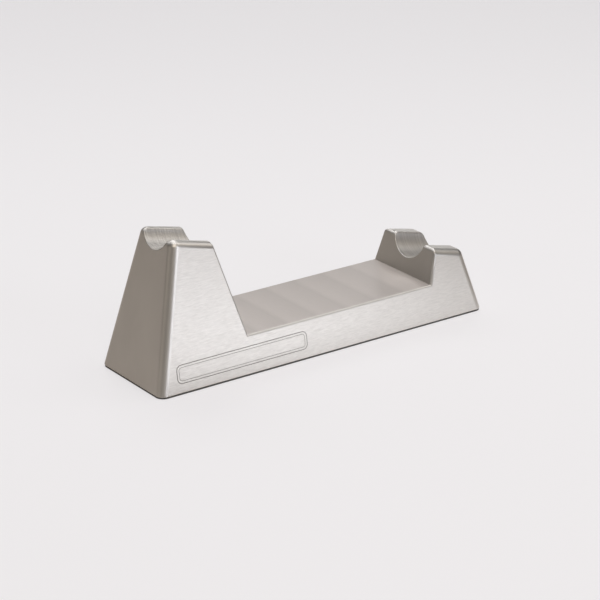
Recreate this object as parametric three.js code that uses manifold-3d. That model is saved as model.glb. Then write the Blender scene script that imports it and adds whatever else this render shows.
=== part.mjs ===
// A razor stand: one aluminium block milled into a deck with a tall post at one end and a short post
// at the other. A half-round saddle runs across the sloping top of each post, so that the handle of a
// safety razor lies in both. Four round pads in pockets under the block keep it off the shelf.
//
// Millimetres, +Z up. The origin is on the shelf under the middle of the block, +X points along the
// stand to the short post, and -Y is the front.

import * as THREE from "three";
import { ConvexGeometry } from "three/addons/geometries/ConvexGeometry.js";
import { mergeVertices } from "three/addons/utils/BufferGeometryUtils.js";
import Module from "manifold-3d";

const wasm = await Module();
wasm.setup();

// ---------------------------------------------------------------- driving dimensions

const LENGTH = 110; // along X, where the two end faces would meet the shelf
const DEPTH = 30; // along Y, where the front and rear faces would meet the shelf
const UNDERSIDE = 0.45; // height at which the pads hold the underside of the block
const DECK = 11; // height of the deck between the posts

const SIDE_DRAFT = 9.7; // degrees that the front and rear faces lean in
const TALL_END_DRAFT = 12.7; // degrees that the end face of the tall post leans in
const SHORT_END_DRAFT = 16.5; // degrees that the end face of the short post leans in
const RIDGE_SLOPE = 13; // degrees that the tops of both posts slope down towards the short post
const RIDGE_AT_MIDDLE = 29.8; // height of the plane of both tops above the middle of the stand

const CORNER_RADIUS = 2.4; // the four upright corners
const UNDERSIDE_EDGE_RADIUS = 0.25;
const TALL_EDGE_RADIUS = 1.95; // the edge round the top of the tall post
const SHORT_EDGE_RADIUS = 2.3; // the edge round the top of the short post

// The faces of the posts that look at each other across the deck: where each meets the deck, the
// degrees that it leans back over its own post, and the radius of its top edge.
const TALL_INNER_FACE = { foot: -25.8, lean: -16.4, edgeRadius: 0.4 };
const SHORT_INNER_FACE = { foot: 36.82, lean: 14.8, edgeRadius: 1.15 };

// The rounding where these two faces and the deck meet the front and rear faces.
const GAP_EDGE_RADII = { tall: 0.5, deck: 0.5, short: 0.8 };

// The saddles. The axis of each lies a little above the plane of the tops and runs along its slope.
const TALL_SADDLE = { radius: 6, rise: 1.73, lipRadius: 1 };
const SHORT_SADDLE = { radius: 6.7, rise: 1.2, lipRadius: 0.5 };

const PAD = { radius: 4.5, thickness: 1.5, edgeRadius: 0.3 };
const PAD_INSET = { x: 7.5, y: 6.5 }; // from the outline of the block to the middle of a pad
const PAD_CLEARANCE = 0.3; // between a pad and its pocket

const CORNER_STEPS = 3;
const EDGE_STEPS = 4;
const SADDLE_STEPS = 28;
const ROUND_SEGMENTS = 32;
const BEYOND = 70; // a cutter reaches this far, to be clear of the block
const EDGE_OVERCUT = 3; // and this far past the face whose edge it rounds

// ---------------------------------------------------------------- directions and faces

const Y = new THREE.Vector3(0, 1, 0);

const slope = (degrees) => Math.tan(THREE.MathUtils.degToRad(degrees));

// A flat face, as its outward normal and its distance from the origin along that normal.
function face(normalX, normalY, normalZ, point) {
  const normal = new THREE.Vector3(normalX, normalY, normalZ).normalize();
  return { normal, distance: normal.dot(point) };
}

const FRONT = face(0, -1, slope(SIDE_DRAFT), new THREE.Vector3(0, -DEPTH / 2, 0));
const REAR = face(0, 1, slope(SIDE_DRAFT), new THREE.Vector3(0, DEPTH / 2, 0));
const TALL_END = face(-1, 0, slope(TALL_END_DRAFT), new THREE.Vector3(-LENGTH / 2, 0, 0));
const SHORT_END = face(1, 0, slope(SHORT_END_DRAFT), new THREE.Vector3(LENGTH / 2, 0, 0));
const BASE = face(0, 0, -1, new THREE.Vector3(0, 0, UNDERSIDE));
const RIDGE = face(slope(RIDGE_SLOPE), 0, 1, new THREE.Vector3(0, 0, RIDGE_AT_MIDDLE));

// ---------------------------------------------------------------- outlines and solids

function arc(centreX, centreY, radius, from, to, steps) {
  const points = [];
  for (let i = 0; i <= steps; i++) {
    const angle = THREE.MathUtils.lerp(from, to, i / steps);
    points.push(new THREE.Vector2(centreX + radius * Math.cos(angle), centreY + radius * Math.sin(angle)));
  }
  return points;
}

// A rounded corner between the straight lines that join a corner to the points before and after it.
function roundedCorner(before, corner, after, radius) {
  const back = before.clone().sub(corner).normalize();
  const ahead = after.clone().sub(corner).normalize();
  const halfAngle = Math.acos(back.dot(ahead)) / 2;
  const inward = back.clone().add(ahead).normalize();
  const centre = corner.clone().addScaledVector(inward, radius / Math.sin(halfAngle));
  const setback = radius / Math.tan(halfAngle);
  const start = corner.clone().addScaledVector(back, setback).sub(centre);
  const end = corner.clone().addScaledVector(ahead, setback).sub(centre);
  const points = [];
  for (let i = 0; i <= EDGE_STEPS; i++) {
    points.push(start.clone().lerp(end, i / EDGE_STEPS).setLength(radius).add(centre));
  }
  return points;
}

// The solid inside a closed surface.
function toSolid(geometry) {
  const bare = geometry.clone();
  bare.deleteAttribute("normal");
  bare.deleteAttribute("uv");
  const merged = mergeVertices(bare);
  return new wasm.Manifold(new wasm.Mesh({
    numProp: 3,
    vertProperties: Float32Array.from(merged.attributes.position.array),
    triVerts: Uint32Array.from(merged.index.array),
  }));
}

function toGeometry(solid) {
  const mesh = solid.getMesh();
  const geometry = new THREE.BufferGeometry();
  geometry.setAttribute("position", new THREE.BufferAttribute(mesh.vertProperties, 3));
  geometry.setIndex(new THREE.BufferAttribute(mesh.triVerts, 1));
  return geometry;
}

// An outline drawn on two directions at right angles, and extruded along the third.
function prism(points, across, up, from, to, origin = new THREE.Vector3()) {
  const along = new THREE.Vector3().crossVectors(across, up);
  const geometry = new THREE.ExtrudeGeometry(new THREE.Shape(points), {
    depth: to - from,
    bevelEnabled: false,
  });
  geometry.translate(0, 0, from);
  geometry.applyMatrix4(new THREE.Matrix4().makeBasis(across, up, along).setPosition(origin));
  return toSolid(geometry);
}

// The solid inside a skin through rings of points, from the front to the rear, closed at both ends.
function skin(rings) {
  const count = rings[0].length;
  const index = [];
  for (let row = 0; row < (rings.length - 1) * count; row += count) {
    for (let i = 0; i < count; i++) {
      const here = row + i;
      const next = row + (i + 1) % count;
      index.push(here, next + count, next);
      index.push(here, here + count, next + count);
    }
  }
  const outline = rings[0].map((point) => new THREE.Vector2(point.x, point.z));
  const last = (rings.length - 1) * count;
  for (const [a, b, c] of THREE.ShapeUtils.triangulateShape(outline, [])) {
    index.push(a, b, c);
    index.push(last + c, last + b, last + a);
  }
  const geometry = new THREE.BufferGeometry().setFromPoints(rings.flat());
  geometry.setIndex(index);
  return toSolid(geometry);
}

// ---------------------------------------------------------------- the block

// Points on the corner where two side faces meet a cap face. The corner is a flat disc with a rounded
// rim, parallel to the cap, and placed so that it touches all three faces from inside.
function cornerPoints(cap, sides, edgeRadius) {
  const discRadius = CORNER_RADIUS - edgeRadius;
  const bearings = sides.map((side) => side.normal.clone().projectOnPlane(cap.normal).normalize());
  const elevations = sides.map((side) => Math.asin(side.normal.dot(cap.normal)));

  const touching = [cap, ...sides];
  const distances = touching.map((each) => each.distance - edgeRadius);
  elevations.forEach((elevation, i) => {
    distances[i + 1] -= discRadius * Math.cos(elevation);
  });
  const normals = new THREE.Matrix3().set(...touching.flatMap((each) => each.normal.toArray()));
  const centre = new THREE.Vector3(...distances).applyMatrix3(normals.invert());

  const points = [];
  for (let i = 0; i <= CORNER_STEPS; i++) {
    const turn = i / CORNER_STEPS;
    const bearing = bearings[0].clone().lerp(bearings[1], turn).normalize();
    const lowest = THREE.MathUtils.lerp(elevations[0], elevations[1], turn);
    for (let j = 0; j <= CORNER_STEPS; j++) {
      const elevation = THREE.MathUtils.lerp(lowest, Math.PI / 2, j / CORNER_STEPS);
      const point = centre.clone();
      point.addScaledVector(bearing, discRadius + edgeRadius * Math.cos(elevation));
      point.addScaledVector(cap.normal, edgeRadius * Math.sin(elevation));
      points.push(point);
    }
  }
  return points;
}

// The block before anything is cut out of it: the tapered bar that reaches up to the sloping ridge.
function blank() {
  const points = [];
  for (const side of [FRONT, REAR]) {
    points.push(...cornerPoints(BASE, [TALL_END, side], UNDERSIDE_EDGE_RADIUS));
    points.push(...cornerPoints(BASE, [SHORT_END, side], UNDERSIDE_EDGE_RADIUS));
    points.push(...cornerPoints(RIDGE, [TALL_END, side], TALL_EDGE_RADIUS));
    points.push(...cornerPoints(RIDGE, [SHORT_END, side], SHORT_EDGE_RADIUS));
  }
  return toSolid(new ConvexGeometry(points));
}

// One side of the gap as seen from the front, from above the ridge down to the bottom of the gap.
function innerFaceOutline({ foot, lean, edgeRadius }, shift, bottom) {
  const faceX = (z) => foot + shift + slope(lean) * (z - DECK);
  const ridgeZ = (x) => RIDGE_AT_MIDDLE - slope(RIDGE_SLOPE) * x;
  const topX = (faceX(0) + slope(lean) * RIDGE_AT_MIDDLE) / (1 + slope(lean) * slope(RIDGE_SLOPE));
  const top = new THREE.Vector2(topX, ridgeZ(topX));
  const overPost = new THREE.Vector2(topX + Math.sign(lean), ridgeZ(topX + Math.sign(lean)));
  const end = new THREE.Vector2(faceX(bottom), bottom);
  const edge = roundedCorner(overPost, top, end, edgeRadius);
  return [new THREE.Vector2(edge[0].x, BEYOND), ...edge, end];
}

// How much wider the gap is at a depth below the front or rear face, where its edge is rounded.
function flare(depth, radius) {
  const inside = THREE.MathUtils.clamp(depth, 0, radius);
  return radius - Math.sqrt(radius ** 2 - (radius - inside) ** 2);
}

// The gap as seen from the front, at a depth below the front or rear face.
function gapOutline(depth) {
  const bottom = DECK - flare(depth, GAP_EDGE_RADII.deck);
  const tall = innerFaceOutline(TALL_INNER_FACE, -flare(depth, GAP_EDGE_RADII.tall), bottom);
  const short = innerFaceOutline(SHORT_INNER_FACE, flare(depth, GAP_EDGE_RADII.short), bottom);
  return [...tall, ...short.reverse()];
}

// The gap between the posts, down to the deck: a skin through its outlines from front to rear.
function gap() {
  const deepest = Math.max(...Object.values(GAP_EDGE_RADII));
  const depths = [-EDGE_OVERCUT];
  for (let i = 0; i <= EDGE_STEPS; i++) {
    depths.push(deepest * (1 - Math.cos((i / EDGE_STEPS) * (Math.PI / 2))));
  }
  const ring = (depth, side) => gapOutline(depth).map(({ x, y: z }) => {
    const setback = slope(SIDE_DRAFT) * z + depth / Math.cos(THREE.MathUtils.degToRad(SIDE_DRAFT));
    return new THREE.Vector3(x, side * (DEPTH / 2 - setback), z);
  });
  const front = depths.map((depth) => ring(depth, -1));
  const rear = depths.map((depth) => ring(depth, 1)).reverse();
  return skin([...front, ...rear]);
}

// A saddle's cross-section: the round channel, and a rounded lip where it meets the top of the post.
function saddleOutline({ radius, rise, lipRadius }) {
  const lipY = Math.sqrt((radius + lipRadius) ** 2 - (rise + lipRadius) ** 2);
  const lipAngle = Math.atan2(rise + lipRadius, lipY);
  return [
    new THREE.Vector2(lipY, BEYOND),
    ...arc(lipY, -lipRadius, lipRadius, Math.PI / 2, Math.PI - lipAngle, EDGE_STEPS),
    ...arc(0, rise, radius, -lipAngle, lipAngle - Math.PI, SADDLE_STEPS).slice(1, -1),
    ...arc(-lipY, -lipRadius, lipRadius, lipAngle, Math.PI / 2, EDGE_STEPS),
    new THREE.Vector2(-lipY, BEYOND),
  ];
}

// A saddle, cut along the slope of the ridge through one post and out into the gap.
function saddle(dimensions, from, to) {
  const ridgeMiddle = new THREE.Vector3(0, 0, RIDGE_AT_MIDDLE);
  return prism(saddleOutline(dimensions), Y, RIDGE.normal, from, to, ridgeMiddle);
}

const PAD_PLACES = {
  foot_tall_front: new THREE.Vector3(PAD_INSET.x - LENGTH / 2, PAD_INSET.y - DEPTH / 2, 0),
  foot_tall_rear: new THREE.Vector3(PAD_INSET.x - LENGTH / 2, DEPTH / 2 - PAD_INSET.y, 0),
  foot_short_front: new THREE.Vector3(LENGTH / 2 - PAD_INSET.x, PAD_INSET.y - DEPTH / 2, 0),
  foot_short_rear: new THREE.Vector3(LENGTH / 2 - PAD_INSET.x, DEPTH / 2 - PAD_INSET.y, 0),
};

function padPocket(place) {
  const depth = PAD.thickness + PAD_CLEARANCE;
  const radius = PAD.radius + PAD_CLEARANCE;
  const geometry = new THREE.CylinderGeometry(radius, radius, 2 * depth, ROUND_SEGMENTS);
  geometry.rotateX(Math.PI / 2);
  geometry.translate(place.x, place.y, 0);
  return toSolid(geometry);
}

function standBody() {
  let block = blank().subtract(gap());
  block = block.subtract(saddle(TALL_SADDLE, -BEYOND, 0));
  block = block.subtract(saddle(SHORT_SADDLE, 0, BEYOND));
  for (const place of Object.values(PAD_PLACES)) {
    block = block.subtract(padPocket(place));
  }
  const aluminium = new THREE.MeshStandardMaterial({ color: 0xb9b4ad, roughness: 0.42, metalness: 0.9 });
  const mesh = new THREE.Mesh(toGeometry(block), aluminium);
  mesh.name = "stand_body";
  return mesh;
}

// ---------------------------------------------------------------- the pads

// A round pad with a rounded lower edge, standing on the shelf.
function pad(name, place) {
  const { radius, thickness, edgeRadius } = PAD;
  const profile = [
    new THREE.Vector2(0, 0),
    ...arc(radius - edgeRadius, edgeRadius, edgeRadius, -Math.PI / 2, 0, EDGE_STEPS),
    new THREE.Vector2(radius, thickness),
    new THREE.Vector2(0, thickness),
  ];
  const geometry = new THREE.LatheGeometry(profile, ROUND_SEGMENTS);
  geometry.rotateX(Math.PI / 2);
  const silicone = new THREE.MeshStandardMaterial({ color: 0x2c2b2a, roughness: 0.75, metalness: 0 });
  const mesh = new THREE.Mesh(geometry, silicone);
  mesh.name = name;
  mesh.position.copy(place);
  return mesh;
}

// ---------------------------------------------------------------- the stand

const stand = new THREE.Group();
stand.add(standBody());
for (const [name, place] of Object.entries(PAD_PLACES)) {
  stand.add(pad(name, place));
}

export default stand;
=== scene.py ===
"""A razor stand: a milled aluminium block on four round pads, on a pale studio floor.

The shapes are worked out in millimetres, in the frame of the CAD part, and turned into metres when
each piece is finished. The origin is on the floor under the middle of the block, +X points along the
stand to the short post, -Y is the front, and +Z is up.
"""

import math

import bmesh
import bpy
import numpy as np
from mathutils import Matrix, Vector


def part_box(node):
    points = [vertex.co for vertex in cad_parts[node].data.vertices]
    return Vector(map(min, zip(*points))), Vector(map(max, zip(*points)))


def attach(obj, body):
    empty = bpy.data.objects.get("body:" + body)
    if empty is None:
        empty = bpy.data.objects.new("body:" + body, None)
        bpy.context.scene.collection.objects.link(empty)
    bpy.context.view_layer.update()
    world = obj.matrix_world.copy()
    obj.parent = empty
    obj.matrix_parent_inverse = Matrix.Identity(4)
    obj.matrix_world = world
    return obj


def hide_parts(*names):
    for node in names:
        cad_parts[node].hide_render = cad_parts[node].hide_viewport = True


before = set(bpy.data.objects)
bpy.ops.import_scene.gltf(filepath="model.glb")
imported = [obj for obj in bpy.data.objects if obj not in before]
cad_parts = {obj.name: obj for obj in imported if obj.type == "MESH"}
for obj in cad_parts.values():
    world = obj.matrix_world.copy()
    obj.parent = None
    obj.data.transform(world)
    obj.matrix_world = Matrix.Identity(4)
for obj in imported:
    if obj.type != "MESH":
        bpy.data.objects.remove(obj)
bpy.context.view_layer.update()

MM = 0.001

# ---------------------------------------------------------------- the block's dimensions

LENGTH = 110.0  # along X, where the two end faces would meet the floor
DEPTH = 30.0  # along Y, where the front and rear faces would meet the floor
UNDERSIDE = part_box("stand_body")[0].z / MM
DECK = 11.0  # height of the deck between the posts

SIDE_DRAFT = 9.7  # degrees that the front and rear faces lean in
TALL_END_DRAFT = 12.7  # degrees that the end face of the tall post leans in
SHORT_END_DRAFT = 16.5  # degrees that the end face of the short post leans in
RIDGE_SLOPE = 13.0  # degrees that the tops of both posts slope down towards the short post
RIDGE_AT_MIDDLE = 29.8  # height of the plane of both tops above the middle of the stand

CORNER_RADIUS = 2.4  # the four upright corners
UNDERSIDE_EDGE_RADIUS = 0.25
TALL_EDGE_RADIUS = 1.95  # the edge round the top of the tall post
SHORT_EDGE_RADIUS = 2.3  # the edge round the top of the short post
EDGE_BREAK = 0.22  # width of the small rounding on the edges that the cutters leave sharp

# The inner face of each post: its foot along X at the height of the deck, how many degrees it leans,
# and the radius of the edge where it meets the top of the post.
TALL_INNER_FACE = {"foot": -25.8, "lean": -16.4, "edge_radius": 0.4}
SHORT_INNER_FACE = {"foot": 36.82, "lean": 14.8, "edge_radius": 1.15}
# The radii of the edges where the gap between the posts meets the front and rear faces.
GAP_EDGE_RADII = {"tall": 0.5, "deck": 0.5, "short": 0.8}

# Each saddle's round: its radius, how far its centre is above the top of the post, the radius of its
# lips, and the height of its ribs.
TALL_SADDLE = {"radius": 6.0, "rise": 1.73, "lip_radius": 1.0, "rib_height": 0.035}
SHORT_SADDLE = {"radius": 6.7, "rise": 1.2, "lip_radius": 0.5, "rib_height": 0.0}
RIB_PITCH = 0.85  # of the fine ribs that the round cutter leaves along a saddle

# Each saddle's run along the slope of the ridge, measured from the middle of the stand. It starts and
# ends clear of its post, and the ribs go from its start to their own end.
TALL_SADDLE_RUN = {"start": -52.0, "ribs_end": -35.2, "end": -26.0}
SHORT_SADDLE_RUN = {"start": 30.0, "ribs_end": 30.0, "end": 60.0}

PAD_NODES = ("foot_tall_front", "foot_tall_rear", "foot_short_front", "foot_short_rear")
PAD_RIM_RADIUS = 0.35
PAD_CLEARANCE = 0.3  # all round a pad in its pocket, and above it
PAD_DISH_DEPTH = 0.12  # of the hollow in the underside of a pad
PAD_DISH_FLAT = 0.45  # radius of the flat middle of the hollow, as a share of the pad's
PAD_DISH_SIDE = 0.6  # width of the hollow's curved side

# How far the cutters reach: to be clear of the block, and past the face whose edge they cut.
BEYOND = 70.0
GAP_OVERCUT = 3.0
POCKET_OVERCUT = 1.0
GROOVE_OVERCUT = 0.3

CORNER_STEPS = 16
GAP_EDGE_STEPS = 9
ROUNDING_STEPS = 8
SADDLE_STEPS = 72
RIB_STEPS = 8
DISH_STEPS = 6
ROUND_SEGMENTS = 96


def slope(degrees):
    """The rise of a line at an angle, for each unit along."""
    return math.tan(math.radians(degrees))


# ---------------------------------------------------------------- the camera

PHOTO_AZIMUTH = -35.85  # degrees from straight in front of the stand towards the short post
PHOTO_ELEVATION = 21.7  # degrees above the floor
CAMERA_PLACE = (-348.54, -483.55, 248.09)
LENS = 138.84
SENSOR_WIDTH = 36.0
CLIP_RANGE = (0.05, 20.0)  # in metres


def make_camera():
    """The view from the front left and a little above, with a long lens."""
    azimuth = math.radians(PHOTO_AZIMUTH)
    elevation = math.radians(PHOTO_ELEVATION)
    back = Vector((
        math.sin(azimuth) * math.cos(elevation),
        -math.cos(azimuth) * math.cos(elevation),
        math.sin(elevation),
    ))
    camera = bpy.data.objects.new("camera", bpy.data.cameras.new("camera"))
    bpy.context.scene.collection.objects.link(camera)
    camera.data.lens = LENS
    camera.data.sensor_width = SENSOR_WIDTH
    camera.location = Vector(CAMERA_PLACE) * MM
    camera.rotation_mode = "QUATERNION"
    camera.rotation_quaternion = (-back).to_track_quat("-Z", "Y")
    camera.data.clip_start, camera.data.clip_end = CLIP_RANGE
    bpy.context.scene.camera = camera


# ---------------------------------------------------------------- mesh helpers

def new_object(name, bm):
    """An object in the scene, made from a mesh that is used up."""
    mesh = bpy.data.meshes.new(name)
    bm.to_mesh(mesh)
    bm.free()
    thing = bpy.data.objects.new(name, mesh)
    bpy.context.scene.collection.objects.link(thing)
    return thing


def to_metres(thing):
    """Turns a piece's points from millimetres into metres."""
    thing.data.transform(Matrix.Scale(MM, 4))
    thing.data.update()


def loft(rings, closed=False):
    """A closed surface through rings of points: it meets itself, or has a flat cap at each end."""
    bm = bmesh.new()
    rows = [[bm.verts.new(point) for point in ring] for ring in rings]
    count = len(rows[0])
    for lower, upper in zip(rows, rows[1:] + (rows[:1] if closed else [])):
        for i in range(count):
            j = (i + 1) % count
            bm.faces.new((lower[i], lower[j], upper[j], upper[i]))
    if not closed:
        bm.faces.new(list(reversed(rows[0])))
        bm.faces.new(rows[-1])
    bmesh.ops.recalc_face_normals(bm, faces=bm.faces)
    return new_object("cutter", bm)


def arc(centre, radius, start, end, steps):
    """Points on a circle in a plane, from one angle to another."""
    angles = np.linspace(start, end, steps + 1)
    return [(centre[0] + radius * math.cos(a), centre[1] + radius * math.sin(a)) for a in angles]


def circle(centre, radius):
    """Points all round a circle in a plane."""
    return arc(centre, radius, 0, 2 * math.pi, ROUND_SEGMENTS)[:-1]


def rounded_corner(before, corner, after, radius):
    """The rounded corner between the lines that join a corner to the points before and after it."""
    before, corner, after = Vector(before), Vector(corner), Vector(after)
    back = (before - corner).normalized()
    ahead = (after - corner).normalized()
    half_angle = back.angle(ahead) / 2
    centre = corner + (back + ahead).normalized() * radius / math.sin(half_angle)
    setback = radius / math.tan(half_angle)
    start = corner + back * setback - centre
    end = corner + ahead * setback - centre
    points = []
    for turn in np.linspace(0, 1, ROUNDING_STEPS + 1):
        points.append(tuple(centre + start.lerp(end, turn).normalized() * radius))
    return points


def turned(name, profile):
    """The solid that a profile of (radius, height) points makes when it turns about +Z."""
    bm = bmesh.new()
    rows = []
    for radius, z in profile:
        outline = circle((0, 0), radius) if radius else [(0, 0)]
        rows.append([bm.verts.new((x, y, z)) for x, y in outline])
    for lower, upper in zip(rows, rows[1:]):
        for i in range(ROUND_SEGMENTS):
            j = (i + 1) % ROUND_SEGMENTS
            corners = [lower[i % len(lower)], lower[j % len(lower)]]
            corners += [upper[j % len(upper)], upper[i % len(upper)]]
            bm.faces.new(list(dict.fromkeys(corners)))  # a triangle, where it touches the axis
    bmesh.ops.recalc_face_normals(bm, faces=bm.faces)
    return new_object(name, bm)


def apply_modifiers(thing):
    """Replaces an object's mesh with what its modifiers make of it."""
    graph = bpy.context.evaluated_depsgraph_get()
    mesh = bpy.data.meshes.new_from_object(thing.evaluated_get(graph))
    thing.modifiers.clear()
    thing.data = mesh


def cut(thing, cutter):
    """Cuts a solid out of an object. The cutter is used up."""
    boolean = thing.modifiers.new("cut", "BOOLEAN")
    boolean.operation = "DIFFERENCE"
    boolean.solver = "EXACT"
    boolean.object = cutter
    apply_modifiers(thing)
    bpy.data.objects.remove(cutter)


# ---------------------------------------------------------------- the block

def face(normal, point):
    """A flat face, as its outward unit normal and its distance from the origin along it."""
    normal = Vector(normal).normalized()
    return normal, normal.dot(Vector(point))


FRONT = face((0, -1, slope(SIDE_DRAFT)), (0, -DEPTH / 2, 0))
REAR = face((0, 1, slope(SIDE_DRAFT)), (0, DEPTH / 2, 0))
TALL_END = face((-1, 0, slope(TALL_END_DRAFT)), (-LENGTH / 2, 0, 0))
SHORT_END = face((1, 0, slope(SHORT_END_DRAFT)), (LENGTH / 2, 0, 0))
BASE = face((0, 0, -1), (0, 0, UNDERSIDE))
RIDGE = face((slope(RIDGE_SLOPE), 0, 1), (0, 0, RIDGE_AT_MIDDLE))

# The points and faces of a mesh that count as one: how near the points are, and how many degrees lie
# between the faces. Right after a cut, slivers narrower than CUT_WELD go.
HULL_WELD = 1e-4
HULL_FLATNESS = 0.05
CUT_WELD = 0.004
SHORTEST_EDGE = 0.002
CUT_FLATNESS = 0.1
WIDEST_SLIT = 16  # sides of the largest hole that a cut can leave

SHARP_EDGE = 28  # degrees, from which an outer edge is broken
CREASE = 35  # degrees, up to which the surface is shaded as one curve


def corner_points(cap, sides, edge_radius):
    """Points on the corner where two side faces meet a cap face.

    The corner is a flat disc with a rounded rim, parallel to the cap and touching all three faces.
    """
    cap_normal = cap[0]
    disc_radius = CORNER_RADIUS - edge_radius
    bearings = [(n - n.dot(cap_normal) * cap_normal).normalized() for n, _ in sides]
    elevations = [math.asin(n.dot(cap_normal)) for n, _ in sides]
    distances = [cap[1] - edge_radius]
    for (_, distance), elevation in zip(sides, elevations):
        distances.append(distance - edge_radius - disc_radius * math.cos(elevation))
    normals = Matrix([cap_normal] + [n for n, _ in sides])
    centre = normals.inverted() @ Vector(distances)
    points = []
    for turn in np.linspace(0, 1, CORNER_STEPS + 1):
        bearing = bearings[0].slerp(bearings[1], turn)
        lowest = elevations[0] + (elevations[1] - elevations[0]) * turn
        for elevation in np.linspace(lowest, math.pi / 2, CORNER_STEPS + 1):
            reach = disc_radius + edge_radius * math.cos(elevation)
            points.append(centre + bearing * reach + cap_normal * edge_radius * math.sin(elevation))
    return points


def blank():
    """The block before anything is cut out of it: a tapered bar up to the sloping ridge."""
    bm = bmesh.new()
    for side in (FRONT, REAR):
        for cap, end, edge_radius in (
            (BASE, TALL_END, UNDERSIDE_EDGE_RADIUS),
            (BASE, SHORT_END, UNDERSIDE_EDGE_RADIUS),
            (RIDGE, TALL_END, TALL_EDGE_RADIUS),
            (RIDGE, SHORT_END, SHORT_EDGE_RADIUS),
        ):
            for point in corner_points(cap, (end, side), edge_radius):
                bm.verts.new(point)
    bmesh.ops.remove_doubles(bm, verts=bm.verts, dist=HULL_WELD)
    hull = bmesh.ops.convex_hull(bm, input=bm.verts)
    inside = hull["geom_interior"] + hull["geom_unused"]
    spare = {vertex for vertex in inside if isinstance(vertex, bmesh.types.BMVert)}
    bmesh.ops.delete(bm, geom=list(spare), context="VERTS")
    flat = math.radians(HULL_FLATNESS)
    bmesh.ops.dissolve_limit(bm, angle_limit=flat, verts=bm.verts, edges=bm.edges)
    return new_object("stand_body_finish", bm)


def inner_face_outline(foot, lean, edge_radius, shift, bottom):
    """One side of the gap between the posts, seen from the front, from above the ridge downwards."""
    def face_x(z):
        return foot + shift + slope(lean) * (z - DECK)

    def ridge_z(x):
        return RIDGE_AT_MIDDLE - slope(RIDGE_SLOPE) * x

    top_x = (face_x(0) + slope(lean) * RIDGE_AT_MIDDLE) / (1 + slope(lean) * slope(RIDGE_SLOPE))
    over_post = top_x + math.copysign(1, lean)
    edge = rounded_corner(
        (over_post, ridge_z(over_post)), (top_x, ridge_z(top_x)), (face_x(0), 0), edge_radius
    )
    return [(edge[0][0], BEYOND)] + edge + [(face_x(bottom), bottom)]


def flare(depth, radius):
    """How much wider the gap is at a depth below the front face, where its edge is rounded."""
    inside = min(max(depth, 0), radius)
    return radius - math.sqrt(radius ** 2 - (radius - inside) ** 2)


def gap_outline(depth):
    """The gap between the posts, seen from the front, at a depth below the front or rear face."""
    widths = {name: flare(depth, radius) for name, radius in GAP_EDGE_RADII.items()}
    bottom = DECK - widths["deck"]
    tall = inner_face_outline(**TALL_INNER_FACE, shift=-widths["tall"], bottom=bottom)
    short = inner_face_outline(**SHORT_INNER_FACE, shift=widths["short"], bottom=bottom)
    return tall + short[::-1]


def gap():
    """The space between the posts, whose edges at the front and rear faces are rounded."""
    deepest = max(GAP_EDGE_RADII.values())
    turns = np.linspace(0, math.pi / 2, GAP_EDGE_STEPS + 1)
    depths = [-GAP_OVERCUT] + [deepest * (1 - math.cos(turn)) for turn in turns]
    rings = []
    for side, order in ((-1, depths), (1, depths[::-1])):
        for depth in order:
            setback = depth / math.cos(math.radians(SIDE_DRAFT))
            ring = []
            for x, z in gap_outline(depth):
                y = side * (DEPTH / 2 - slope(SIDE_DRAFT) * z - setback)
                ring.append((x, y, z))
            rings.append(ring)
    return loft(rings)


def saddle_outline(radius, rise, lip_radius):
    """A saddle's cross-section, with a rounded lip where it meets the top of the post."""
    lip_y = math.sqrt((radius + lip_radius) ** 2 - (rise + lip_radius) ** 2)
    lip_angle = math.atan2(rise + lip_radius, lip_y)
    return (
        [(lip_y, BEYOND)]
        + arc((lip_y, -lip_radius), lip_radius, math.pi / 2, math.pi - lip_angle, ROUNDING_STEPS)
        + arc((0, rise), radius, -lip_angle, lip_angle - math.pi, SADDLE_STEPS)[1:-1]
        + arc((-lip_y, -lip_radius), lip_radius, lip_angle, math.pi / 2, ROUNDING_STEPS)
        + [(-lip_y, BEYOND)]
    )


def saddle(start, ribs_end, end, radius, rise, lip_radius, rib_height):
    """The cutter of a saddle. It runs along the slope of the ridge and leaves fine ribs at first."""
    up = RIDGE[0]
    along = Vector((0, 1, 0)).cross(up)
    origin = Vector((0, 0, RIDGE_AT_MIDDLE))
    rings = []
    for place in [*np.arange(start, ribs_end, RIB_PITCH / RIB_STEPS), ribs_end, end]:
        scallop = 0
        if place < ribs_end:
            scallop = rib_height * (1 - abs(math.sin(math.pi * place / RIB_PITCH)))
        outline = saddle_outline(radius - scallop, rise, lip_radius)
        rings.append([origin + along * place + Vector((0, y, 0)) + up * n for y, n in outline])
    return loft(rings)


def tidy_mesh(block):
    """Joins the slivers that the cuts leave, makes each flat face one polygon, and closes any slit."""
    bm = bmesh.new()
    bm.from_mesh(block.data)
    bmesh.ops.remove_doubles(bm, verts=bm.verts, dist=CUT_WELD)
    bmesh.ops.dissolve_degenerate(bm, edges=bm.edges, dist=SHORTEST_EDGE)
    flat = math.radians(CUT_FLATNESS)
    bmesh.ops.dissolve_limit(bm, angle_limit=flat, verts=bm.verts, edges=bm.edges)
    boundary = [edge for edge in bm.edges if edge.is_boundary]
    bmesh.ops.holes_fill(bm, edges=boundary, sides=WIDEST_SLIT)
    bmesh.ops.dissolve_degenerate(bm, edges=bm.edges, dist=SHORTEST_EDGE)
    bm.to_mesh(block.data)
    bm.free()


def break_edges(block):
    """Rounds the sharp outer edges that the cutters leave, each a little."""
    tidy_mesh(block)
    bm = bmesh.new()
    bm.from_mesh(block.data)
    weight = bm.edges.layers.float.new("bevel_weight_edge")
    for edge in bm.edges:
        if len(edge.link_faces) == 2 and edge.calc_face_angle_signed(0) > math.radians(SHARP_EDGE):
            edge[weight] = 1.0
    bm.to_mesh(block.data)
    bm.free()
    bevel = block.modifiers.new("edge break", "BEVEL")
    bevel.limit_method = "WEIGHT"
    bevel.width = EDGE_BREAK
    bevel.segments = 3
    bevel.use_clamp_overlap = False
    bevel.miter_outer = "MITER_ARC"
    apply_modifiers(block)


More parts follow.
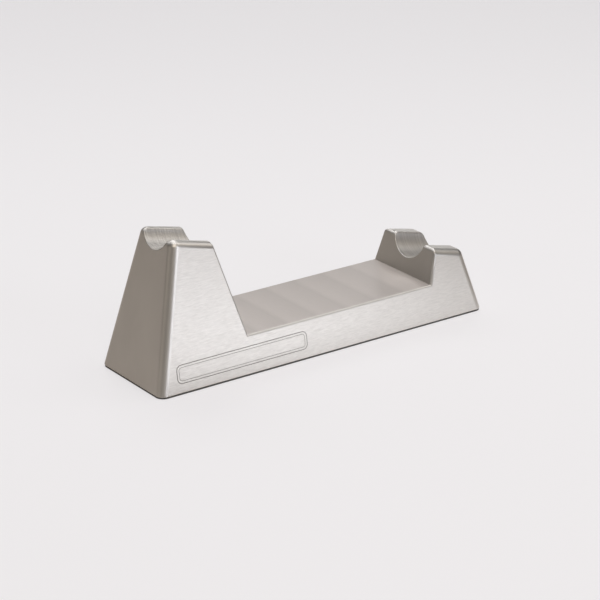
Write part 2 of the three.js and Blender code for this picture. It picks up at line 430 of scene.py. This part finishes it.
def smooth_mesh(block):
    """Shades the rounded stretches smooth, and keeps the flats flat."""
    block.data.shade_smooth()
    block.data.set_sharp_from_angle(angle=math.radians(CREASE))
    weighted = block.modifiers.new("flat faces", "WEIGHTED_NORMAL")
    weighted.keep_sharp = True
    weighted.mode = "FACE_AREA_WITH_ANGLE"
    apply_modifiers(block)


def pad_place(node):
    """A pad's centre on the floor, its radius and the height of its top, in millimetres."""
    low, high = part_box(node)
    centre = (low + high) / 2 / MM
    return centre.x, centre.y, (high.x - low.x) / 2 / MM, high.z / MM


def pad_pocket(node):
    """The shallow round pocket in the underside that a pad sits in."""
    x, y, radius, top = pad_place(node)
    ring = circle((x, y), radius + PAD_CLEARANCE)
    return loft([[(px, py, z) for px, py in ring] for z in (-POCKET_OVERCUT, top + PAD_CLEARANCE)])


# ---------------------------------------------------------------- the engraved border

BORDER_MIDDLE = (-28.0, 5.6)  # along X, and up the front face from where it would meet the floor
# The size of each line's rounded rectangle, then the width and the depth of the line itself.
BORDER_LINES = (
    {"length": 42.0, "height": 5.0, "corner": 1.4, "width": 0.22, "depth": 0.09},
    {"length": 40.6, "height": 3.6, "corner": 0.8, "width": 0.14, "depth": 0.06},
)


def rounded_rectangle(length, height, corner):
    """Points around a rectangle with rounded corners, centred on the origin."""
    points = []
    for quarter, (side_x, side_y) in enumerate(((1, 1), (-1, 1), (-1, -1), (1, -1))):
        centre = (side_x * (length / 2 - corner), side_y * (height / 2 - corner))
        start = quarter * math.pi / 2
        points += arc(centre, corner, start, (quarter + 1) * math.pi / 2, ROUNDING_STEPS)
    return points


def border_groove(length, height, corner, width, depth):
    """The tool that engraves one line of the border into the front face."""
    outward = FRONT[0]
    up = outward.cross(Vector((1, 0, 0)))
    origin = Vector((BORDER_MIDDLE[0], -DEPTH / 2, 0)) + up * BORDER_MIDDLE[1]
    profile = (
        (width / 2, GROOVE_OVERCUT),
        (width / 2, 0.0),
        (width / 8, -depth),
        (-width / 8, -depth),
        (-width / 2, 0.0),
        (-width / 2, GROOVE_OVERCUT),
    )
    rings = []
    for grow, proud in profile:
        outline = rounded_rectangle(length + 2 * grow, height + 2 * grow, corner + grow)
        rings.append([origin + Vector((x, 0, 0)) + up * v + outward * proud for x, v in outline])
    return loft(rings, closed=True)


# ---------------------------------------------------------------- which finish goes where

FINISHES = ("satin", "brushed", "milled", "saddle", "engraved")

ALIGNED = 0.9995  # the least cosine between the directions of a stretch and of the face it is part of
NEAR_FACE = 0.02  # how near to a flat face a stretch of it lies
NEAR_SADDLE = 0.1  # how near to a saddle's round a stretch of it lies
SADDLE_TOP = 0.2  # above the top of the post, where the saddles' finish ends
ENGRAVED_DEPTHS = (0.004, 0.4)  # below the front face
BORDER_MARGIN = 0.5  # round the outer line of the border


def finish_of(centre, normal):
    """The name of the finish on a stretch of surface, from where it is and where it faces."""
    for side_normal, distance in (FRONT, REAR):
        aligned = normal.dot(side_normal) > ALIGNED
        if aligned and abs(centre.dot(side_normal) - distance) < NEAR_FACE:
            return "brushed"
    if engraved_here(centre):
        return "engraved"
    if normal.z > ALIGNED and abs(centre.z - DECK) < NEAR_FACE:
        return "milled"
    height = centre.dot(RIDGE[0]) - RIDGE[1]
    for spec, side in ((TALL_SADDLE, -1), (SHORT_SADDLE, 1)):
        reach = math.hypot(centre.y, height - spec["rise"])
        on_round = abs(reach - spec["radius"]) < NEAR_SADDLE
        if centre.x * side > 0 and on_round and height < SADDLE_TOP:
            return "saddle"
    return "satin"


def engraved_here(centre):
    """Whether a point lies in the lines of the border, a little below the front face."""
    least, most = ENGRAVED_DEPTHS
    if not FRONT[1] - most < centre.dot(FRONT[0]) < FRONT[1] - least:
        return False
    outer = BORDER_LINES[0]
    beside = abs(centre.x - BORDER_MIDDLE[0]) < outer["length"] / 2 + BORDER_MARGIN
    above = abs(centre.z - BORDER_MIDDLE[1]) < outer["height"] / 2 + BORDER_MARGIN
    return beside and above


def assign_finishes(block, materials):
    """Gives each face of the block the finish for its place."""
    for name in FINISHES:
        block.data.materials.append(materials[name])
    for polygon in block.data.polygons:
        polygon.material_index = FINISHES.index(finish_of(polygon.center, polygon.normal))


def make_block(materials):
    """The whole block: the blank with everything cut out of it, its edges broken and its finishes."""
    block = blank()
    cut(block, gap())
    cut(block, saddle(**TALL_SADDLE_RUN, **TALL_SADDLE))
    cut(block, saddle(**SHORT_SADDLE_RUN, **SHORT_SADDLE))
    for node in PAD_NODES:
        cut(block, pad_pocket(node))
    break_edges(block)
    for line in BORDER_LINES:
        cut(block, border_groove(**line))
    tidy_mesh(block)
    assign_finishes(block, materials)
    smooth_mesh(block)
    to_metres(block)
    return block


# ---------------------------------------------------------------- the pads

def make_pad(node, material):
    """A soft round pad: a disc with rounded rims, dished underneath so that it grips by its edge."""
    x, y, radius, top = pad_place(node)
    dish_flat = radius * PAD_DISH_FLAT
    dish_side = []
    for step in np.linspace(0, 1, DISH_STEPS + 1)[1:]:
        height = PAD_DISH_DEPTH * (1 + math.cos(math.pi * step)) / 2
        dish_side.append((dish_flat + step * PAD_DISH_SIDE, height))
    rim = radius - PAD_RIM_RADIUS
    profile = (
        [(0.0, PAD_DISH_DEPTH), (dish_flat, PAD_DISH_DEPTH)]
        + dish_side
        + arc((rim, PAD_RIM_RADIUS), PAD_RIM_RADIUS, -math.pi / 2, 0, ROUNDING_STEPS)
        + arc((rim, top - PAD_RIM_RADIUS), PAD_RIM_RADIUS, 0, math.pi / 2, ROUNDING_STEPS)
        + [(0.0, top)]
    )
    pad = turned(node + "_pad", profile)
    pad.data.shade_smooth()
    pad.data.transform(Matrix.Translation((x, y, 0)))
    pad.data.materials.append(material)
    to_metres(pad)
    return pad


# ---------------------------------------------------------------- materials

def new_material(name):
    """A material, with its node tree and its Principled shader."""
    material = bpy.data.materials.new(name)
    material.use_nodes = True
    tree = material.node_tree
    return material, tree, tree.nodes["Principled BSDF"]


def add_node(tree, kind, inputs, **settings):
    """A shader node. Each input is a value, or the output socket of another node."""
    made = tree.nodes.new(kind)
    for name, value in settings.items():
        setattr(made, name, value)
    for key, value in inputs.items():
        if isinstance(value, bpy.types.NodeSocket):
            tree.links.new(value, made.inputs[key])
        else:
            made.inputs[key].default_value = value
    return made


def place(tree, grain):
    """Where a point is, counted in grains of the given size along X, Y and Z."""
    coordinates = add_node(tree, "ShaderNodeTexCoord", {}).outputs["Object"]
    scale = [1 / (size * MM) for size in grain]
    mapping = add_node(tree, "ShaderNodeMapping", {"Vector": coordinates, "Scale": scale})
    return mapping.outputs["Vector"]


def noise(tree, grain, detail=2.0, distortion=0.0):
    """A noise texture with grains of the given size, in millimetres along X, Y and Z."""
    inputs = {
        "Vector": place(tree, grain),
        "Scale": 1.0,
        "Detail": detail,
        "Distortion": distortion,
    }
    return add_node(tree, "ShaderNodeTexNoise", inputs).outputs["Fac"]


def between(tree, factor, low, high, source=(0.3, 0.7)):
    """A number that goes from low to high as a texture goes through its source range."""
    inputs = {
        "Value": factor,
        "From Min": source[0],
        "From Max": source[1],
        "To Min": low,
        "To Max": high,
    }
    return add_node(tree, "ShaderNodeMapRange", inputs).outputs["Result"]


def tone(tree, factor, dark, pale):
    """A colour that follows a factor from a dark tone to a pale one."""
    mixed = add_node(tree, "ShaderNodeMix", {"Factor": factor}, data_type="RGBA")
    mixed.inputs["A"].default_value = dark + (1,)
    mixed.inputs["B"].default_value = pale + (1,)
    return mixed.outputs["Result"]


def bump(tree, height, distance, strength=1.0, under=None):
    """A surface raised by up to a distance in millimetres, on top of another bump if there is one."""
    inputs = {"Height": height, "Distance": distance * MM, "Strength": strength}
    if under is not None:
        inputs["Normal"] = under
    return add_node(tree, "ShaderNodeBump", inputs).outputs["Normal"]


def maths(tree, operation, *values):
    """The result of a sum on values or sockets."""
    return add_node(tree, "ShaderNodeMath", dict(enumerate(values)), operation=operation).outputs[0]


def shade(colour, factor):
    """A colour made darker or paler."""
    return tuple(value * factor for value in colour)


ALUMINIUM = (0.64, 0.615, 0.59)


def satin_metal():
    """Fine blasted metal, on the ends, the inner faces and the edges."""
    material, tree, shader = new_material("aluminium_satin")
    grains = noise(tree, (0.12, 0.12, 0.12), detail=3)
    clouds = noise(tree, (9.0, 9.0, 14.0))
    colour = tone(tree, between(tree, clouds, 0, 1), shade(ALUMINIUM, 0.96), shade(ALUMINIUM, 1.02))
    tree.links.new(colour, shader.inputs["Base Color"])
    tree.links.new(between(tree, grains, 0.38, 0.44), shader.inputs["Roughness"])
    tree.links.new(bump(tree, grains, 0.004), shader.inputs["Normal"])
    shader.inputs["Metallic"].default_value = 1.0
    return material


def brushed_metal():
    """Metal brushed lengthwise by hand, so that its strokes are short and a little wavy."""
    material, tree, shader = new_material("aluminium_brushed")
    strokes = noise(tree, (2.2, 1.2, 0.3), detail=4, distortion=0.8)
    hairs = noise(tree, (1.6, 0.3, 0.06), detail=2)
    colour = tone(tree, between(tree, strokes, 0, 1), shade(ALUMINIUM, 0.93), shade(ALUMINIUM, 1.06))
    tree.links.new(colour, shader.inputs["Base Color"])
    tree.links.new(between(tree, strokes, 0.47, 0.35), shader.inputs["Roughness"])
    surface = bump(tree, hairs, 0.008, under=bump(tree, strokes, 0.035, 0.7))
    tree.links.new(surface, shader.inputs["Normal"])
    shader.inputs["Metallic"].default_value = 1.0
    return material


DECK_PASS = 9.85  # width of one pass of the cutter across the deck
DECK_PASS_START = 6.7  # along X, where one of the passes starts
MILLED_ALUMINIUM = (0.625, 0.577, 0.55)


def milled_metal():
    """Metal milled in passes across the deck, each palest near its start and fading towards its end."""
    material, tree, shader = new_material("aluminium_milled")
    coordinates = add_node(tree, "ShaderNodeTexCoord", {}).outputs["Object"]
    along = add_node(tree, "ShaderNodeSeparateXYZ", {"Vector": coordinates}).outputs["X"]
    passes = maths(tree, "DIVIDE", maths(tree, "SUBTRACT", along, DECK_PASS_START * MM), DECK_PASS * MM)
    across = maths(tree, "FRACT", passes)
    rise = between(tree, across, 0, 1, source=(0.0, 0.2))
    fall = between(tree, across, 1, 0.25, source=(0.3, 1.0))
    level = maths(tree, "MULTIPLY", rise, fall)
    colour = tone(tree, level, shade(MILLED_ALUMINIUM, 0.94), shade(MILLED_ALUMINIUM, 1.03))
    tree.links.new(colour, shader.inputs["Base Color"])
    scratches = noise(tree, (0.25, 3.0, 1.0), detail=3, distortion=0.4)
    tree.links.new(between(tree, scratches, 0.38, 0.46), shader.inputs["Roughness"])
    tree.links.new(bump(tree, scratches, 0.004), shader.inputs["Normal"])
    shader.inputs["Metallic"].default_value = 1.0
    return material


def saddle_metal():
    """The bare cut surface of the saddles, with the rings that the round cutter leaves, and their light
    and shade painted in stripes across it.
    """
    material, tree, shader = new_material("aluminium_saddle")
    # Lighter and darker stripes at the pitch of the ribs: painted light and shade of the cutter's rings.
    rib_light_and_shade = noise(tree, (RIB_PITCH / 2, 30.0, 30.0), detail=1)
    lines = noise(tree, (0.1, 4.0, 4.0), detail=3)
    colour = tone(tree, between(tree, rib_light_and_shade, 0, 1), shade(ALUMINIUM, 0.88), shade(ALUMINIUM, 1.07))
    tree.links.new(colour, shader.inputs["Base Color"])
    tree.links.new(between(tree, lines, 0.42, 0.5), shader.inputs["Roughness"])
    tree.links.new(bump(tree, lines, 0.003), shader.inputs["Normal"])
    shader.inputs["Metallic"].default_value = 1.0
    return material


def engraved_metal():
    """The dull floor of an engraved line, darkened with painted shade for the narrow groove."""
    material, tree, shader = new_material("aluminium_engraved")
    grains = noise(tree, (0.06, 0.06, 0.06), detail=2)
    # Much darker than the metal round it: painted shade in the groove, on a rougher finish.
    colour = tone(tree, between(tree, grains, 0, 1), shade(ALUMINIUM, 0.45), shade(ALUMINIUM, 0.6))
    tree.links.new(colour, shader.inputs["Base Color"])
    tree.links.new(between(tree, grains, 0.5, 0.6), shader.inputs["Roughness"])
    shader.inputs["Metallic"].default_value = 1.0
    return material


def pad_rubber():
    """Soft dark grey silicone, with a fine matt grain."""
    material, tree, shader = new_material("pad_silicone")
    grains = noise(tree, (0.15, 0.15, 0.15), detail=3)
    clouds = noise(tree, (2.5, 2.5, 2.5))
    colour = tone(tree, between(tree, clouds, 0, 1), (0.026, 0.026, 0.028), (0.042, 0.041, 0.042))
    tree.links.new(colour, shader.inputs["Base Color"])
    tree.links.new(between(tree, grains, 0.55, 0.72), shader.inputs["Roughness"])
    tree.links.new(bump(tree, grains, 0.012, 0.6), shader.inputs["Normal"])
    shader.inputs["Specular IOR Level"].default_value = 0.35
    return material


# ---------------------------------------------------------------- the studio

FLOOR_ALBEDO = (0.3, 0.3, 0.3)
FLOOR_ROUGHNESS = 0.9
FLOOR_REACH = 4.0  # metres from the stand to each side
# The glow that the camera sees, around the stand and far behind it. It changes from one to the other
# over a stretch of the floor, in metres from the middle of the stand along FAR_WAY.
FLOOR_SEEN = {"near": (0.585, 0.57, 0.585), "far": (0.49, 0.475, 0.49)}
FAR_WAY = (0.585, 0.811, 0.0)
FAR_STRETCH = (0.05, 0.45)
# The glow that the metal reflects, and what a round pool of light in front of the stand adds to it.
FLOOR_REFLECTED = (0.24, 0.2, 0.165)
POOL = {"middle": (0.02, -0.1, 0.0), "radius": 0.135, "glow": (1.74, 1.82, 1.93)}

SHADE_INSET = 0.1 * MM  # how far inside the outline of the block the unlit floor ends
SHADE_HEIGHT = 0.02 * MM  # how far the unlit floor lies above the rest
ROOM = (0.07, 0.066, 0.061)


def floor_glow(tree):
    """The colour in which the floor glows: even to the camera, with a pool of light to the metal."""
    position = add_node(tree, "ShaderNodeNewGeometry", {}).outputs["Position"]
    way = add_node(tree, "ShaderNodeVectorMath", {0: position, 1: FAR_WAY}, operation="DOT_PRODUCT")
    farness = smooth_step(tree, way.outputs["Value"], *FAR_STRETCH)
    seen = tone(tree, farness, FLOOR_SEEN["near"], FLOOR_SEEN["far"])
    ends = {0: position, 1: POOL["middle"]}
    reach = add_node(tree, "ShaderNodeVectorMath", ends, operation="DISTANCE")
    outside_pool = smooth_step(tree, reach.outputs["Value"], 0.0, POOL["radius"])
    in_pool = tuple(np.add(FLOOR_REFLECTED, POOL["glow"]))
    reflected = tone(tree, outside_pool, in_pool, FLOOR_REFLECTED)
    to_camera = add_node(tree, "ShaderNodeLightPath", {}).outputs["Is Camera Ray"]
    mixed = add_node(tree, "ShaderNodeMix", {"Factor": to_camera}, data_type="RGBA")
    tree.links.new(reflected, mixed.inputs["A"])
    tree.links.new(seen, mixed.inputs["B"])
    return mixed.outputs["Result"]


def smooth_step(tree, value, start, end):
    """A number that rises smoothly from 0 to 1 as a value goes from start to end."""
    inputs = {"Value": value, "From Min": start, "From Max": end}
    stepped = add_node(tree, "ShaderNodeMapRange", inputs, interpolation_type="SMOOTHSTEP")
    return stepped.outputs["Result"]


def make_floor():
    """A pale floor with a glow of its own, so that it stays even around the object."""
    material, tree, shader = new_material("floor_finish")
    shader.inputs["Base Color"].default_value = FLOOR_ALBEDO + (1,)
    shader.inputs["Roughness"].default_value = FLOOR_ROUGHNESS
    shader.inputs["Specular IOR Level"].default_value = 0.1
    tree.links.new(floor_glow(tree), shader.inputs["Emission Color"])
    shader.inputs["Emission Strength"].default_value = 1.0
    bm = bmesh.new()
    bmesh.ops.create_grid(bm, x_segments=1, y_segments=1, size=FLOOR_REACH)
    floor = new_object("floor", bm)
    floor.data.materials.append(material)


def make_floor_under_block():
    """The stretch of floor under the block, which doesn't glow: a sheet of painted shade beneath the
    block.
    """
    material, tree, shader = new_material("floor_in_shade")
    shader.inputs["Base Color"].default_value = FLOOR_ALBEDO + (1,)
    shader.inputs["Roughness"].default_value = FLOOR_ROUGHNESS
    # This sheet is painted shade: it keeps the floor dark under the block and along its foot.
    low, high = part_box("stand_body")
    length = high.x - low.x - 2 * SHADE_INSET
    depth = high.y - low.y - 2 * SHADE_INSET
    outline = rounded_rectangle(length, depth, CORNER_RADIUS * MM - SHADE_INSET)
    bm = bmesh.new()
    bm.faces.new([bm.verts.new((x, y, SHADE_HEIGHT)) for x, y in outline])
    patch = new_object("painted_shade_under_block", bm)
    patch.data.materials.append(material)


def make_room():
    """The faint light of the room round the softboxes."""
    world = bpy.data.worlds.new("room")
    bpy.context.scene.world = world
    world.use_nodes = True
    world.node_tree.nodes["Background"].inputs["Color"].default_value = ROOM + (1,)


WHITE = (1.0, 1.0, 1.0)
WARM = (1.1, 1.0, 0.86)
COOL = (0.96, 1.0, 1.09)

SOFTBOX_DISTANCE = 1.0  # metres from the middle of the stand, which every softbox faces

# A softbox's bearing is in degrees from +X towards +Y, its climb in degrees above the floor, its size
# in metres and its brightness in watts per steradian and square metre.
SOFTBOXES = {
    "front_left": {"bearing": -78, "climb": 14, "size": (0.4, 0.4), "brightness": 4.0, "tint": COOL},
    "front_right": {"bearing": -34, "climb": 26, "size": (0.6, 0.3), "brightness": 0.15, "tint": WARM},
    "front_high": {"bearing": -40, "climb": 50, "size": (0.7, 0.5), "brightness": 0.65, "tint": WARM},
    "right_high": {"bearing": -10, "climb": 55, "size": (0.5, 0.4), "brightness": 1.65, "tint": WHITE},
    "rear_right_low": {"bearing": 42, "climb": 10, "size": (0.35, 0.22), "brightness": 1.2, "tint": WHITE},
    "rear_low": {"bearing": 57, "climb": 6, "size": (0.3, 0.18), "brightness": 1.15, "tint": WHITE},
    "rear_right": {"bearing": 60, "climb": 50, "size": (0.5, 0.5), "brightness": 2.4, "tint": WHITE},
    "rear": {"bearing": 93, "climb": 40, "size": (0.5, 0.35), "brightness": 1.5, "tint": WHITE},
    "rear_left": {"bearing": 125, "climb": 45, "size": (0.45, 0.45), "brightness": 0.75, "tint": WHITE},
    "rear_left_low": {"bearing": 120, "climb": 12, "size": (0.35, 0.3), "brightness": 0.4, "tint": WARM},
    "left_low": {"bearing": 180, "climb": 15, "size": (0.5, 0.4), "brightness": 0.4, "tint": WARM},
    "left_high": {"bearing": -120, "climb": 45, "size": (0.6, 0.6), "brightness": 1.95, "tint": WARM},
    "overhead": {"bearing": 0, "climb": 90, "size": (0.6, 0.6), "brightness": 2.2, "tint": WHITE},
}


def make_softbox(name, bearing, climb, size, brightness, tint):
    """A rectangular light that faces the stand, and that the camera doesn't see."""
    light = bpy.data.lights.new(name, "AREA")
    light.shape = "RECTANGLE"
    light.size, light.size_y = size
    light.energy = math.pi * size[0] * size[1] * brightness
    light.color = tint
    lamp = bpy.data.objects.new(name, light)
    bpy.context.scene.collection.objects.link(lamp)
    turn = Matrix.Rotation(math.radians(bearing), 3, "Z")
    tilt = Matrix.Rotation(math.radians(-climb), 3, "Y")
    direction = turn @ tilt @ Vector((1, 0, 0))
    lamp.location = direction * SOFTBOX_DISTANCE
    lamp.rotation_mode = "QUATERNION"
    lamp.rotation_quaternion = (-direction).to_track_quat("-Z", "Y")
    lamp.visible_camera = False


def main():
    """Sets up the camera, the object and the studio round it."""
    make_camera()
    materials = {
        "satin": satin_metal(),
        "brushed": brushed_metal(),
        "milled": milled_metal(),
        "saddle": saddle_metal(),
        "engraved": engraved_metal(),
    }
    block = make_block(materials)
    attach(block, "root")
    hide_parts("stand_body")
    rubber = pad_rubber()
    for node in PAD_NODES:
        pad = make_pad(node, rubber)
        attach(pad, "root")
        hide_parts(node)
    make_floor()
    make_floor_under_block()
    make_room()
    for name, spec in SOFTBOXES.items():
        make_softbox(name, **spec)
    bpy.context.scene.view_settings.view_transform = "Standard"


main()
